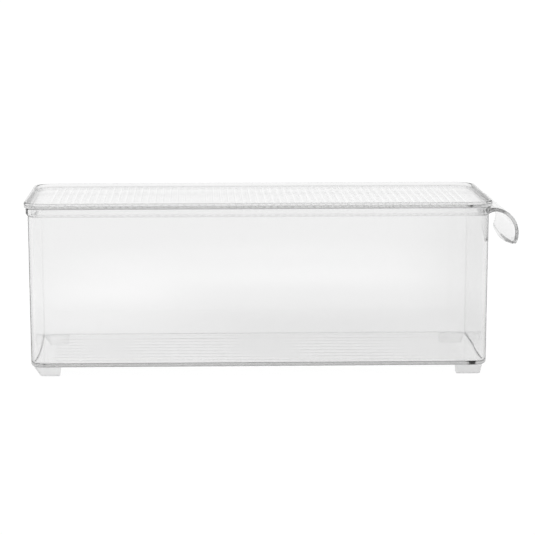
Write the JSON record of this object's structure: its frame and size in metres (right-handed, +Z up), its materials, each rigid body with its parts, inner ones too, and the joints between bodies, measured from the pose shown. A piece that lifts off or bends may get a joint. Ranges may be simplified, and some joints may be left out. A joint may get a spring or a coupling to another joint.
{
  "type": "fridge bin",
  "caption": "Long clear plastic fridge bin with a hooked finger handle at one end, a ribbed lift-off lid with a raised rim, and small corner feet.",
  "frame": {"origin": "middle of the whole footprint, handle included, on the surface that the feet stand on", "axes": "+X along the length towards the handle, +Y across the width away from the front, +Z up"},
  "size_m": [0.3702, 0.1452, 0.1307],
  "materials": {
    "clear_plastic": "clear, polished",
    "milky_plastic": "translucent, frosted"
  },
  "bodies": {
    "bin_body": {"bin": "clear_plastic", "foot_plain_front": "milky_plastic", "foot_plain_rear": "milky_plastic", "foot_handle_front": "milky_plastic", "foot_handle_rear": "milky_plastic"},
    "lid_body": {"lid": "clear_plastic"}
  },
  "joints": [
    {"name": "lid_lift", "type": "slide", "parent": "bin_body", "child": "lid_body", "axis": [0, 0, 1], "range_m": [0, 0.12]}
  ]
}
